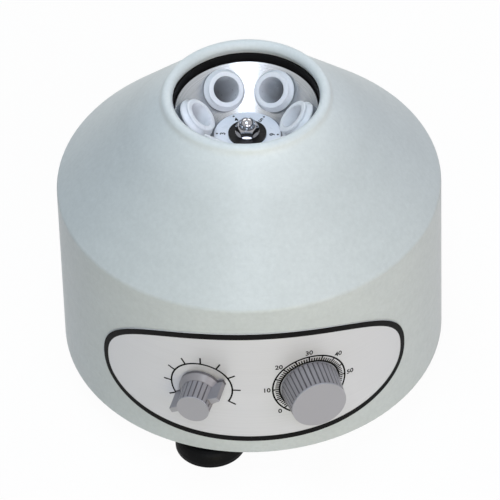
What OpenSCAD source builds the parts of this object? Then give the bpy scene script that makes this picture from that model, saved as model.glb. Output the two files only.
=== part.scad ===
// Bench centrifuge with a conical casing, an open mouth and a six-place angle rotor.
// Millimetres. +Z up, -Y is the front. The origin lies on the spin axis, on the bench.

/* [Casing] */
// Outer radius of the upright wall at the shoulder
casing_r = 130; // [128:0.5:140]
// How much wider the wall is at its bottom edge than at the shoulder
casing_flare = 1; // [0:0.1:1.5]
// Sheet thickness of the casing
casing_wall = 2; // [1.2:0.1:2.6]
// Height of the upright wall, bottom edge to shoulder
wall_h = 130; // [126:0.5:150]
// Slope of the conical top
cone_angle = 45; // [44:0.5:47]
// Rounding of the shoulder
shoulder_round = 4; // [2:0.5:8]
// Radius of the rolled lip's centre line
lip_r = 53; // [52.5:0.1:56]
// Radius of the rolled lip's section
lip_tube_r = 4; // [3.4:0.1:4.6]
// How far the lip's centre lies below the cone's own surface line
lip_sink = 3.6; // [2.8:0.1:4.2]
// Rounding where the cone runs up into the lip
lip_fillet = 9; // [5:0.5:12]
// Depth of the turned-down collar under the lip
collar_h = 12; // [10:0.5:14]
// Height of the rubber strip inside the collar
gasket_h = 7.6; // [5:0.2:9]
// Thickness of the rubber strip
gasket_t = 1.6; // [1:0.1:2]

/* [Base] */
// Height of the casing's bottom edge above the bench
foot_h = 19.5; // [17:0.5:30]
// How far the base plate sits up inside the wall
plate_recess = 3; // [2.5:0.5:6]
// Thickness of the base plate
plate_t = 2; // [1.5:0.5:4]
// Distance of the feet's circle in from the wall
foot_in = 24; // [22:0.5:32]
// Turn of the first foot from the front, to the left
foot_turn = 17.4; // [10:0.1:22]
// Radius of a suction foot at the bench
foot_r = 24.2; // [18:0.2:25]
// Radius of the foot's boss under the plate
foot_boss_r = 12; // [10:0.5:13]
// Leg width of the angle ring that carries the base plate
ring_leg = 12; // [10:0.5:13]
// Sheet thickness of the angle ring
ring_t = 2; // [1.5:0.1:2.5]

/* [Control panel] */
// Half width of the label plate, measured round the wall
panel_half_w = 114.5; // [105:0.5:125]
// Height of the plate's widest line above the casing's bottom edge
panel_mid = 55; // [52:0.5:65]
// Height of the plate above its widest line
panel_up = 55.5; // [45:0.5:62]
// Height of the plate below its widest line
panel_down = 43.7; // [35:0.5:48]
// Thickness of the plate
panel_t = 0.6; // [0.4:0.1:1]
// Turn of the speed knob's axis from the front, to the left
speed_turn = 16; // [15:0.1:20]
// Height of the speed knob's axis above the bottom edge
speed_z = 59.1; // [50:0.1:66]
// Turn of the timer knob's axis from the front, to the right
timer_turn = 16; // [15:0.1:20]
// Height of the timer knob's axis above the bottom edge
timer_z = 58.2; // [50:0.1:66]

/* [Knobs] */
// Radius of the timer knob at its back
timer_knob_r = 20; // [16:0.1:21]
// Radius of the timer knob at its face
timer_face_r = 18.7; // [14:0.1:19.5]
// Depth of the timer knob
timer_knob_h = 20; // [15:0.5:26]
// Number of grooves round the timer knob
timer_grooves = 36; // [12:2:48]
// Radius of the speed knob's skirt
skirt_r = 14.6; // [13.5:0.1:17]
// Radius of the speed knob's grip
grip_r = 11.3; // [9.6:0.1:12]
// Depth of the speed knob
speed_knob_h = 21.4; // [18:0.2:26]
// Half length of the pointer bar
pointer_half = 18.8; // [16:0.2:22]
// Number of grooves round the speed knob
speed_grooves = 20; // [10:2:30]
// Direction of the pointer at rest, counted from the right
pointer_rest = 208; // [200:1:215]
// Gap between a knob's back and the panel
knob_gap = 1; // [0.6:0.1:2]

/* [Rotor] */
// Turn of the rotor where it came to rest
rotor_turn = -4.3; // [-30:0.1:30]
// Radius of the rotor dish's rim
dish_r = 47.6; // [44:0.1:47.8]
// Sheet thickness of the dish
dish_t = 2; // [1.5:0.1:2.5]
// Depth of the dish's rim below the lip's centre
rim_drop = 10; // [9:0.1:14]
// Slope of the dish, and tilt of the tubes
tube_angle = 45; // [44:0.5:46]
// Radius at which the tubes' axes cross the dish
hole_ring_r = 35.7; // [34.5:0.1:37]
// Radius of the number disc
disc_r = 22.4; // [20:0.1:23]
// Thickness of the number disc
disc_t = 1.8; // [1:0.1:2.5]
// Radius of the rubber washer
rubber_r = 12.8; // [10:0.1:15]
// Thickness of the rubber washer
rubber_t = 1.5; // [1:0.1:2.5]
// Width across flats of the acorn nut
nut_af = 13.6; // [12.5:0.1:15]
// Height of the acorn nut's hexagon
nut_hex_h = 5.8; // [4:0.1:7]

/* [Tubes] */
// Whole length of a tube
tube_len = 99; // [85:0.5:104]
// Inner radius of a tube
tube_in_r = 9; // [8:0.1:9.4]
// Outer radius of a tube's body
tube_body_r = 10.2; // [9.6:0.1:10.8]
// Outer radius of the rim
tube_rim_r = 12.5; // [11.8:0.1:13]
// Outer radius of the flange that hangs in the dish
tube_flange_r = 14.4; // [13.8:0.1:14.6]
// Height of the tube's mouth above the dish, along the tube
tube_stand = 8; // [7:0.1:9]

/* [Motor] */
// Outer radius of the motor
motor_r = 46; // [44:0.5:52]
// Wall of the motor's steel can
can_wall = 2; // [1.5:0.1:3]
// Height of the lower end bell
lower_bell_h = 34.5; // [33:0.5:40]
// Length of the steel can
can_h = 62; // [60:0.5:70]
// Height of the upper end bell's wall
upper_bell_h = 14; // [13:0.5:18]
// Width of the motor deck outside the circle of dampers
deck_edge = 8; // [7:0.5:10]
// Thickness of the motor deck
deck_t = 3; // [2:0.5:4]
// Distance from the motor's wall out to the circle of rubber dampers
damper_out = 6; // [5.5:0.5:8]
// Height of a rubber damper
damper_h = 12; // [11:0.5:18]
// Radius of a rubber damper
damper_r = 8; // [7:0.5:9]
// Radius of the shaft
shaft_r = 4; // [3.5:0.1:4.4]
// Radius of the armature
armature_r = 24; // [20:0.5:25]
// Length of the armature's iron
stack_h = 40; // [30:0.5:42]
// Air gap between armature and field
air_gap = 0.6; // [0.4:0.1:1]

/* [Circuit board] */
// Length of the board, round the base
board_l = 76; // [72:1:90]
// Width of the board, along the base's radius
board_w = 42; // [40:1:44]
// Height of the board's posts
post_h = 8; // [5:0.5:12]
// Turn of the board from the front, to the left
board_turn = 78; // [74:1:90]
// Distance of the circuit board's middle in from the wall
board_in = 39; // [37:0.5:42]

/* [Hidden] */
$fn = 96;
seat = 0.1;

// Casing
casing_z = foot_h;
shoulder_z = casing_z + wall_h;
wall_bottom_r = casing_r + casing_flare;
lip_z = shoulder_z + (casing_r - lip_r) * tan(cone_angle) - lip_sink;
collar_out_r = lip_r - lip_tube_r + gasket_t + casing_wall + seat;
collar_in_r = collar_out_r - casing_wall;
collar_z = lip_z - collar_h;
gasket_in_r = collar_in_r - seat - gasket_t;
gasket_z = collar_z;
function wall_r(z) = wall_bottom_r - casing_flare * (z - casing_z) / wall_h;
function inner_wall_r(z) = wall_r(z) - casing_wall;

// Base
plate_z = casing_z + plate_recess;
plate_top = plate_z + plate_t;
plate_r = inner_wall_r(plate_z) - 0.4;
feet = 3;
foot_step = 360 / feet;
screw_r = 2;
foot_ring_r = casing_r - foot_in;
m5_r = 2.5;
hole_gap = 0.2;
ring_screws = 6;
ring_out_r = inner_wall_r(plate_top + ring_leg) - 2 * seat;
ring_screw_r = ring_out_r - ring_leg / 2;
foot_cup_h = 3;
foot_head_z = 11;

// Knob axes
speed_axis_z = casing_z + speed_z;
timer_axis_z = casing_z + timer_z;
speed_wall = wall_r(speed_axis_z);
timer_wall = wall_r(timer_axis_z);
knob_shaft_r = 3;
bushing_r = 4.5;
bushing_out = 6;
panel_nut_t = 2.2;
panel_nut_r = 6.4;
body_setback = 1.4;
pot_r = 14;
pot_h = 13;
timer_side = 46;
timer_h = 30;

// Motor
damper_ring_r = motor_r + damper_out;
deck_r = damper_ring_r + deck_edge;
deck_z = plate_top + damper_h;
deck_top = deck_z + deck_t;
can_z = deck_top + lower_bell_h;
upper_z = can_z + can_h;
upper_top = upper_z + upper_bell_h;
bell_t = 4;
stack_z = can_z + (can_h - stack_h) / 2 - 1;
bearing_r = 11;
bearing_h = 7;
boss_r = bearing_r + 3;
boss_drop = 6;
lower_bearing_z = deck_top - boss_drop + 4;
upper_bearing_z = upper_top + 1;
commutator_r = 12;
commutator_h = 14;
commutator_z = deck_top + 13;
brush_z = commutator_z + commutator_h / 2;
brush_side = 7;
brush_gap = 0.25;
holder_r = 7;
holder_in = 15;
yoke_in_r = motor_r - can_wall - 6.5;
pole_half = 14;
coil_t = 4.6;
coil_side = 4.6;
coil_x = sqrt(pow(yoke_in_r, 2) - pow(pole_half + coil_side, 2)) - coil_t - hole_gap;
shoe_t = 2.4;
shoe_angle = 52;
run_gap = 0.05;
tie_ring_r = motor_r - can_wall - 3.4;

// Rotor
rim_z = lip_z - rim_drop;
floor_edge_r = disc_r + 0.4;
floor_z = rim_z - (dish_r - floor_edge_r) * tan(tube_angle);
floor_under = floor_z - dish_t;
disc_z = floor_z;
rubber_z = disc_z + disc_t;
washer_z = rubber_z + rubber_t;
washer_t = 1;
washer_r = 8;
nut_z = washer_z + washer_t;
nut_dome_r = 5.9;
shaft_top = nut_z + nut_hex_h + 1;
hub_gap = 4;
hub_z = upper_bearing_z + bearing_h + hub_gap;
hub_screw_z = hub_z + (floor_under - hub_z) / 4;
hub_r = 12;
hub_flange_r = disc_r - 1;
hub_flange_t = 4;
hole_ring_z = floor_z + (hole_ring_r - floor_edge_r) * tan(tube_angle);
hole_gap_r = 0.5;
mouth_ring_r = hole_ring_r - tube_stand * sin(tube_angle);
mouth_z = hole_ring_z + tube_stand * cos(tube_angle);
tubes = 6;

// Board
board_z = plate_top + post_h;
board_t = 1.6;
board_mid_r = casing_r - board_in;

// Points on an arc, from angle a0 to a1
function arc(x, y, r, a0, a1, steps = 8) =
    [for (i = [0:steps]) let (a = a0 + (a1 - a0) * i / steps) [x + r * cos(a), y + r * sin(a)]];
// A signed power, for the rounded outline of the label plate
function spow(v, p) = sign(v) * pow(abs(v), p);

// Places what is drawn along +Z so that it points out of the wall, -Y being the front
module out_of_wall(turn, z) {
    rotate([0, 0, turn])
        translate([0, 0, z])
            rotate([90, 0, 0])
                children();
}

module tube_ring(r, bore, h) {
    difference() {
        cylinder(r = r, h = h);
        translate([0, 0, -1])
            cylinder(r = bore, h = h + 2);
    }
}

module hex_nut(af, bore, h) {
    difference() {
        cylinder(r = af / sqrt(3), h = h, $fn = 6);
        translate([0, 0, -1])
            cylinder(r = bore, h = h + 2, $fn = 48);
    }
}

module pan_screw(r, length, head_r, head_h) {
    translate([0, 0, -head_h])
        cylinder(r = head_r, h = head_h, $fn = 48);
    cylinder(r = r, h = length, $fn = 48);
}

module at_feet() {
    for (i = [0:feet - 1])
        rotate([0, 0, -foot_turn + i * foot_step])
            translate([0, -foot_ring_r, 0])
                children();
}

module at_ring_screws() {
    for (i = [0:ring_screws - 1])
        rotate([0, 0, -foot_turn + foot_step / 4 + i * 360 / ring_screws])
            translate([0, -ring_screw_r, 0])
                children();
}

module at_dampers() {
    for (i = [0:2])
        rotate([0, 0, 60 + i * 120])
            translate([0, -damper_ring_r, 0])
                children();
}

// The spun sheet: wall, shoulder, cone, the fillet under the lip, the rolled lip and its collar
module casing_profile() {
    slope = cone_angle;
    nx = sin(slope);
    ny = cos(slope);
    // Centre of the shoulder's rounding
    sc = [casing_r - shoulder_round, shoulder_z - shoulder_round * tan(slope / 2)];
    // Distance of the lip's centre under the cone's surface line
    line = casing_r * nx + shoulder_z * ny;
    depth = line - (lip_r * nx + lip_z * ny);
    // The fillet's centre lies lip_fillet above the cone and touches the lip
    reach = sqrt(pow(lip_fillet + lip_tube_r, 2) - pow(depth + lip_fillet, 2));
    fc = [lip_r + (depth + lip_fillet) * nx + reach * ny, lip_z + (depth + lip_fillet) * ny - reach * nx];
    touch = atan2(fc[1] - lip_z, fc[0] - lip_r);
    inner_line = line - casing_wall;
    inner_shoulder = (inner_line - inner_wall_r(shoulder_z) * nx) / ny;
    collar_top = (inner_line - collar_out_r * nx) / ny;
    collar_meet = lip_z - sqrt(pow(lip_tube_r, 2) - pow(collar_in_r - lip_r, 2));
    meet_angle = atan2(collar_meet - lip_z, collar_in_r - lip_r);
    polygon(concat(
        [[inner_wall_r(casing_z), casing_z], [wall_bottom_r, casing_z]],
        arc(sc[0], sc[1], shoulder_round, 0, 90 - slope, 6),
        arc(fc[0], fc[1], lip_fillet, 270 - slope, 180 + touch, 6),
        arc(lip_r, lip_z, lip_tube_r, touch, 360 + meet_angle, 20),
        [[collar_in_r, collar_z], [collar_out_r, collar_z], [collar_out_r, collar_top]],
        [[inner_wall_r(shoulder_z), inner_shoulder]]));
}

module casing_shell() {
    color([0.72, 0.76, 0.76])
        difference() {
            rotate_extrude($fn = 180)
                casing_profile();
            out_of_wall(-speed_turn, speed_axis_z)
                translate([0, 0, speed_wall - 10])
                    cylinder(r = bushing_r + hole_gap, h = 20);
            out_of_wall(timer_turn, timer_axis_z)
                translate([0, 0, timer_wall - 10])
                    cylinder(r = bushing_r + hole_gap, h = 20);
            out_of_wall(fuse_turn, rear_z)
                translate([0, 0, rear_wall - 10])
                    cylinder(r = fuse_hole_r + hole_gap, h = 20);
            out_of_wall(gland_turn, rear_z)
                translate([0, 0, rear_wall - 10])
                    cylinder(r = gland_groove_r + hole_gap, h = 20);
        }
}

// Rolled angle ring, spot welded inside the wall, that the base plate screws to
module base_ring() {
    color([0.55, 0.56, 0.57])
        difference() {
            rotate_extrude($fn = 180)
                polygon([[ring_out_r - ring_leg, plate_top], [ring_out_r, plate_top],
                    [ring_out_r, plate_top + ring_leg], [ring_out_r - ring_t, plate_top + ring_leg],
                    [ring_out_r - ring_t, plate_top + ring_t], [ring_out_r - ring_leg, plate_top + ring_t]]);
            at_ring_screws()
                translate([0, 0, plate_top - 1])
                    cylinder(r = screw_r + run_gap, h = ring_t + 2, $fn = 48);
        }
}

module mouth_gasket() {
    color([0.06, 0.06, 0.06])
        translate([0, 0, gasket_z])
            tube_ring(gasket_in_r + gasket_t, gasket_in_r, gasket_h, $fn = 180);
}

// Outline of the label plate, worked out round the wall and laid flat for the cut
module panel_outline(inset) {
    w = panel_half_w - inset;
    round_up = 2.1;
    round_down = 2.5;
    steps = 96;
    polygon([for (i = [0:steps - 1])
        let (a = 360 * i / steps,
            p = a < 180 ? round_up : round_down,
            h = (a < 180 ? panel_up : panel_down) - inset,
            s = w * spow(cos(a), 2 / p),
            v = h * spow(sin(a), 2 / p))
        [casing_r * sin(s / casing_r * 180 / PI), v]]);
}

// Thin aluminium plate wrapped round the front of the wall
module control_panel() {
    mid_z = casing_z + panel_mid;
    top_z = mid_z + panel_up + 2;
    low_z = mid_z - panel_down - 2;
    color([0.82, 0.82, 0.85])
        difference() {
            intersection() {
                difference() {
                    translate([0, 0, low_z])
                        cylinder(r1 = wall_r(low_z) + panel_t + seat, r2 = wall_r(top_z) + panel_t + seat,
                            h = top_z - low_z, $fn = 180);
                    translate([0, 0, low_z])
                        cylinder(r1 = wall_r(low_z) + seat, r2 = wall_r(top_z) + seat,
                            h = top_z - low_z, $fn = 180);
                }
                out_of_wall(0, mid_z)
                    linear_extrude(height = casing_r + 20)
                        panel_outline(0);
            }
            out_of_wall(-speed_turn, speed_axis_z)
                translate([0, 0, speed_wall - 10])
                    cylinder(r = bushing_r + hole_gap, h = 20);
            out_of_wall(timer_turn, timer_axis_z)
                translate([0, 0, timer_wall - 10])
                    cylinder(r = bushing_r + hole_gap, h = 20);
        }
}

// Bottom cover with its screw holes and three rings of cooling slots under the motor
module base_plate() {
    slots = 6;
    slot_r = 34;
    slot_l = 22;
    slot_w = 4;
    color([0.5, 0.51, 0.52])
        difference() {
            translate([0, 0, plate_z])
                cylinder(r = plate_r, h = plate_t, $fn = 180);
            at_ring_screws()
                translate([0, 0, plate_z - 1])
                    cylinder(r = screw_r + hole_gap, h = plate_t + 2, $fn = 48);
            at_feet()
                translate([0, 0, plate_z - 1])
                    cylinder(r = m5_r + hole_gap, h = plate_t + 2, $fn = 48);
            at_dampers()
                translate([0, 0, plate_z - 1])
                    cylinder(r = m5_r + hole_gap, h = plate_t + 2, $fn = 48);
            at_board_corners()
                translate([0, 0, plate_z - 1])
                    cylinder(r = post_screw_r + hole_gap, h = plate_t + 2, $fn = 48);
            for (i = [0:slots - 1], k = [-1:1])
                rotate([0, 0, i * 360 / slots])
                    translate([slot_r + k * 2 * slot_w - slot_w / 2, -slot_l / 2, plate_z - 1])
                        cube([slot_w, slot_l - abs(k) * slot_w, plate_t + 2]);
        }
}

module base_screws() {
    color("silver")
        at_ring_screws()
            translate([0, 0, plate_z])
                pan_screw(screw_r, plate_t + ring_t + 3, 3.8, 2.4);
}

// Rubber suction foot: a cup on the bench, a waist and a boss under the plate
module suction_feet() {
    rim_w = 3.4;
    waist_z = 13;
    color([0.09, 0.09, 0.1])
        at_feet()
            rotate_extrude($fn = 96)
                polygon(concat(
                    [[foot_r - rim_w, 0], [foot_r, 0], [foot_r, foot_cup_h]],
                    arc(foot_r - 9, foot_cup_h, 8.6, 20, 90, 5),
                    [[foot_boss_r, waist_z], [foot_boss_r, plate_z]],
                    [[m5_r + hole_gap, plate_z], [m5_r + hole_gap, foot_head_z + 3.2]],
                    [[5.2, foot_head_z + 3.2], [5.2, 7]],
                    arc(foot_r - rim_w - 9, 0, 7, 80, 20, 4)));
}

module foot_screws() {
    color("silver")
        at_feet()
            translate([0, 0, foot_head_z + 3.2])
                pan_screw(m5_r, plate_top + 7 - foot_head_z - 3.2, 4.6, 3);
}

module lock_nuts() {
    color("silver") {
        at_feet()
            translate([0, 0, plate_top])
                hex_nut(8, m5_r + run_gap, 4);
        at_dampers()
            translate([0, 0, deck_top])
                hex_nut(8, m5_r + run_gap, 4);
    }
}

// Pressed deck that carries the motor on its dampers
module motor_deck() {
    color([0.6, 0.61, 0.62])
        difference() {
            translate([0, 0, deck_z])
                cylinder(r = deck_r, h = deck_t, $fn = 120);
            translate([0, 0, deck_z - 1])
                cylinder(r = boss_r + 0.4, h = deck_t + 2);
            at_dampers()
                translate([0, 0, deck_z - 1])
                    cylinder(r = m5_r + hole_gap, h = deck_t + 2, $fn = 48);
            at_tie_bolts()
                translate([0, 0, deck_z - 1])
                    cylinder(r = screw_r + hole_gap, h = deck_t + 2, $fn = 48);
            for (i = [0:5])
                rotate([0, 0, 30 + i * 60])
                    translate([27, 0, deck_z - 1])
                        cylinder(r = 6, h = deck_t + 2, $fn = 48);
        }
}

module motor_dampers() {
    waist = 1.6;
    color([0.12, 0.12, 0.12])
        at_dampers()
            rotate_extrude($fn = 72)
                polygon(concat(
                    [[m5_r + hole_gap, plate_top], [damper_r, plate_top], [damper_r, plate_top + 3]],
                    [[damper_r - waist, plate_top + damper_h / 2]],
                    [[damper_r, deck_z - 3], [damper_r, deck_z], [m5_r + hole_gap, deck_z]]));
}

module damper_bolts() {
    color("silver")
        at_dampers()
            translate([0, 0, plate_z])
                pan_screw(m5_r, deck_top + 7 - plate_z, 4.6, 2.8);
}

module at_tie_bolts() {
    for (i = [0, 1])
        rotate([0, 0, 45 + i * 180])
            translate([tie_ring_r, 0, 0])
                children();
}

// Cast lower end bell with the commutator bearing and ports for the brushes
module motor_lower_bell() {
    color([0.66, 0.67, 0.68])
        difference() {
            union() {
                translate([0, 0, deck_top])
                    cylinder(r = motor_r, h = lower_bell_h, $fn = 120);
                translate([0, 0, deck_top - boss_drop])
                    cylinder(r = boss_r, h = boss_drop + 1);
            }
            difference() {
                translate([0, 0, deck_top + bell_t])
                    cylinder(r = motor_r - bell_t, h = lower_bell_h, $fn = 120);
                translate([0, 0, deck_top + bell_t - 1])
                    cylinder(r = boss_r, h = 3);
            }
            translate([0, 0, lower_bearing_z])
                cylinder(r = bearing_r + run_gap, h = 20);
            translate([0, 0, deck_top - boss_drop - 1])
                cylinder(r = shaft_r + 1.5, h = 20);
            for (side = [-1, 1])
                translate([0, 0, brush_z])
                    rotate([90 * side, 0, 0])
                        translate([0, 0, 20])
                            cylinder(r = holder_r + run_gap, h = motor_r);
            at_tie_bolts()
                translate([0, 0, deck_z])
                    cylinder(r = screw_r + hole_gap, h = lower_bell_h + 20, $fn = 48);
            for (i = [0:3])
                rotate([0, 0, 22.5 + i * 90])
                    translate([30, 0, deck_top - 1])
                        cylinder(r = 5, h = bell_t + 2, $fn = 48);
        }
}

module motor_housing() {
    color([0.35, 0.36, 0.38])
        translate([0, 0, can_z])
            tube_ring(motor_r, motor_r - can_wall, can_h, $fn = 120);
}

module motor_upper_bell() {
    color([0.66, 0.67, 0.68])
        difference() {
            union() {
                translate([0, 0, upper_z])
                    cylinder(r = motor_r, h = upper_bell_h, $fn = 120);
                translate([0, 0, upper_top - 1])
                    cylinder(r = boss_r, h = bearing_h + 2);
            }
            translate([0, 0, upper_z - 1])
                cylinder(r = motor_r - bell_t, h = upper_bell_h - bell_t + 1, $fn = 120);
            translate([0, 0, upper_bearing_z])
                cylinder(r = bearing_r + run_gap, h = 20);
            translate([0, 0, upper_z])
                cylinder(r = shaft_r + 3, h = 40);
            at_tie_bolts()
                translate([0, 0, upper_z - 1])
                    cylinder(r = screw_r + hole_gap, h = upper_bell_h + 2, $fn = 48);
            for (i = [0:5])
                rotate([0, 0, i * 60])
                    translate([28, 0, upper_top - bell_t - 1])
                        cylinder(r = 6, h = bell_t + 2, $fn = 48);
        }
}

module motor_tie_bolts() {
    bolt_len = upper_top - deck_z;
    color("silver")
        at_tie_bolts() {
            translate([0, 0, deck_z])
                cylinder(r = screw_r, h = bolt_len + 4, $fn = 48);
            translate([0, 0, deck_z - 2.6])
                cylinder(r = 3.6, h = 2.6, $fn = 48);
            translate([0, 0, upper_top])
                cylinder(r = 3.8, h = 3, $fn = 6);
        }
}

// Two-pole field iron: a round yoke with a pole and a curved shoe on each side
module stator_core() {
    shoe_half = motor_r * tan(shoe_angle);
    bore = armature_r + air_gap;
    color([0.3, 0.3, 0.32])
        translate([0, 0, stack_z])
            linear_extrude(height = stack_h)
                difference() {
                    circle(r = motor_r - can_wall - seat, $fn = 120);
                    difference() {
                        circle(r = yoke_in_r, $fn = 96);
                        for (side = [0, 180])
                            rotate(side) {
                                translate([bore, -pole_half])
                                    square([yoke_in_r - bore + 1, 2 * pole_half]);
                                intersection() {
                                    circle(r = bore + shoe_t, $fn = 96);
                                    polygon([[0, 0], [motor_r, -shoe_half], [motor_r, shoe_half]]);
                                }
                            }
                    }
                    circle(r = bore, $fn = 96);
                    at_tie_slots();
                }
}

module at_tie_slots() {
    for (i = [0, 1])
        rotate(45 + i * 180)
            translate([tie_ring_r, 0])
                circle(r = screw_r + hole_gap, $fn = 48);
}

// Racetrack coils round the two poles
module field_coils() {
    side = coil_side;
    color([0.72, 0.42, 0.2])
        for (turn = [0, 180])
            rotate([0, 0, turn])
                difference() {
                    translate([coil_x, -pole_half - side, stack_z - side - 0.4])
                        cube([coil_t, 2 * (pole_half + side), stack_h + 2 * side + 0.8]);
                    translate([coil_x - 1, -pole_half - 0.2, stack_z - 0.3])
                        cube([coil_t + 2, 2 * pole_half + 0.4, stack_h + 0.6]);
                }
}

module bearing(z) {
    groove = 0.5;
    color([0.75, 0.76, 0.78])
        translate([0, 0, z])
            rotate_extrude($fn = 96)
                polygon([[shaft_r + run_gap, 0], [shaft_r + 2, 0], [shaft_r + 2, groove],
                    [bearing_r - 2, groove], [bearing_r - 2, 0], [bearing_r, 0],
                    [bearing_r, bearing_h], [bearing_r - 2, bearing_h],
                    [bearing_r - 2, bearing_h - groove], [shaft_r + 2, bearing_h - groove],
                    [shaft_r + 2, bearing_h], [shaft_r + run_gap, bearing_h]]);
}

module lower_bearing() {
    bearing(lower_bearing_z);
}

module upper_bearing() {
    bearing(upper_bearing_z);
}

// Draws for both sides of the commutator, along +Z outwards from the spin axis
module at_brushes() {
    for (side = [-1, 1])
        translate([0, 0, brush_z])
            rotate([90 * side, 0, 0])
                children();
}

module brush_holders() {
    port = brush_side + 2 * brush_gap;
    color([0.8, 0.65, 0.3])
        at_brushes()
            difference() {
                translate([0, 0, holder_in])
                    cylinder(r = holder_r, h = motor_r + 2 - holder_in, $fn = 72);
                translate([-port / 2, -port / 2, 0])
                    cube([port, port, motor_r + 10]);
            }
}

module carbon_brushes() {
    color([0.15, 0.15, 0.15])
        at_brushes()
            translate([-brush_side / 2, -brush_side / 2, commutator_r + 0.3])
                cube([brush_side, brush_side, 16]);
}

module brush_springs() {
    from = commutator_r + 0.3 + 16;
    color("silver")
        at_brushes()
            translate([0, 0, from])
                tube_ring(2.8, 2, motor_r - 0.2 - from, $fn = 48);
}

module brush_caps() {
    color([0.1, 0.1, 0.1])
        at_brushes() {
            translate([0, 0, motor_r + 2])
                cylinder(r = holder_r, h = 2.4, $fn = 72);
            translate([0, 0, motor_r - 0.2])
                cylinder(r = brush_side / 2 - 0.1, h = 2.4, $fn = 48);
        }
}

// Turned shaft: bearing seats, a thicker middle and the rotor's end
module motor_shaft() {
    mid_r = shaft_r + 1.5;
    low = lower_bearing_z - 2;
    color([0.8, 0.81, 0.83])
        rotate_extrude($fn = 96)
            polygon([[0, low], [shaft_r, low], [shaft_r, lower_bearing_z + bearing_h + 0.2],
                [mid_r, lower_bearing_z + bearing_h + 0.2], [mid_r, upper_bearing_z - 0.2],
                [shaft_r, upper_bearing_z - 0.2], [shaft_r, shaft_top], [0, shaft_top]]);
}

// Slotted iron of the armature
module armature_core() {
    slots = 12;
    bore = shaft_r + 1.5 + seat;
    color([0.32, 0.32, 0.34])
        translate([0, 0, stack_z])
            difference() {
                tube_ring(armature_r, bore, stack_h, $fn = 96);
                for (i = [0:slots - 1])
                    rotate([0, 0, i * 360 / slots])
                        translate([armature_r - 9, -1.2, -1])
                            cube([12, 2.4, stack_h + 2]);
            }
}

// The end turns of the armature's winding, above and below the iron
module armature_windings() {
    bore = shaft_r + 1.5 + seat;
    turn_h = 9;
    color([0.72, 0.42, 0.2])
        for (up = [0, 1])
            translate([0, 0, up ? stack_z + stack_h + seat : stack_z - seat - turn_h])
                rotate_extrude($fn = 96)
                    polygon([[bore, 0], [armature_r - 6, 0], [armature_r - 2, 3],
                        [armature_r - 2, turn_h - 3], [armature_r - 6, turn_h], [bore, turn_h]]);
}

module commutator() {
    bars = 24;
    bore = shaft_r + 1.5 + seat;
    color([0.75, 0.5, 0.3])
        translate([0, 0, commutator_z])
            difference() {
                union() {
                    tube_ring(commutator_r, bore, commutator_h, $fn = 96);
                    translate([0, 0, commutator_h - 2])
                        tube_ring(commutator_r + 1.4, bore, 2, $fn = 96);
                }
                for (i = [0:bars - 1])
                    rotate([0, 0, (i + 0.5) * 360 / bars])
                        translate([commutator_r - 1, -0.25, -1])
                            cube([4, 0.5, commutator_h + 2]);
            }
}

module cooling_fan() {
    blades = 9;
    bore = shaft_r + 1.5 + seat;
    fan_h = 6;
    fan_r = motor_r - bell_t - 4;
    fan_z = upper_z + 1.5;
    color([0.2, 0.2, 0.22])
        translate([0, 0, fan_z]) {
            tube_ring(fan_r, bore, 1.4, $fn = 96);
            tube_ring(bore + 3, bore, fan_h, $fn = 96);
            for (i = [0:blades - 1])
                rotate([0, 0, i * 360 / blades])
                    translate([bore + 2, -0.7, 0.5])
                        cube([fan_r - bore - 3, 1.4, fan_h - 0.5]);
        }
}

// Turned hub that the dish is clamped to
module rotor_hub() {
    color([0.78, 0.79, 0.81])
        difference() {
            rotate_extrude($fn = 96)
                polygon([[shaft_r + run_gap, hub_z], [hub_r, hub_z],
                    [hub_r, floor_under - hub_flange_t - 3], [hub_r + 3, floor_under - hub_flange_t],
                    [hub_flange_r, floor_under - hub_flange_t], [hub_flange_r, floor_under],
                    [shaft_r + run_gap, floor_under]]);
            for (turn = [0, 180])
                rotate([0, 0, rotor_turn + turn])
                    translate([shaft_r - 1, 0, hub_screw_z])
                        rotate([0, 90, 0])
                            cylinder(r = screw_r + run_gap, h = hub_r + 4, $fn = 48);
        }
}

module hub_screws() {
    color([0.2, 0.2, 0.2])
        for (turn = [0, 180])
            rotate([0, 0, rotor_turn + turn])
                translate([shaft_r + seat, 0, hub_screw_z])
                    rotate([0, 90, 0])
                        difference() {
                            cylinder(r = screw_r, h = hub_r - shaft_r - 1, $fn = 48);
                            translate([0, 0, hub_r - shaft_r - 3])
                                cylinder(r = 1.1, h = 4, $fn = 6);
                        }
}

// Places what is drawn along a tube, +Z running out of the tube's mouth
module on_tube(n) {
    rotate([0, 0, rotor_turn + n * 360 / tubes])
        translate([mouth_ring_r, 0, mouth_z])
            rotate([0, -tube_angle, 0])
                children();
}

// Spun dish with six holes, square to the tubes
module rotor_dish() {
    under_edge = floor_edge_r + dish_t * tan(tube_angle / 2);
    rim_under = floor_under + (dish_r - under_edge) * tan(tube_angle);
    color([0.86, 0.87, 0.89])
        difference() {
            rotate_extrude($fn = 180)
                polygon([[shaft_r + run_gap, floor_under], [under_edge, floor_under],
                    [dish_r, rim_under], [dish_r, rim_z], [floor_edge_r, floor_z],
                    [shaft_r + run_gap, floor_z]]);
            for (n = [0:tubes - 1])
                on_tube(n)
                    translate([0, 0, -tube_stand - 10])
                        cylinder(r = tube_body_r + hole_gap_r, h = 20, $fn = 96);
        }
}

module number_disc() {
    color([0.92, 0.93, 0.96])
        translate([0, 0, disc_z])
            tube_ring(disc_r, shaft_r + run_gap, disc_t, $fn = 120);
}

module rubber_washer() {
    color([0.05, 0.05, 0.05])
        translate([0, 0, rubber_z])
            tube_ring(rubber_r, shaft_r + run_gap, rubber_t, $fn = 96);
}

module steel_washer() {
    color("silver")
        translate([0, 0, washer_z])
            tube_ring(washer_r, shaft_r + run_gap, washer_t, $fn = 96);
}

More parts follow.
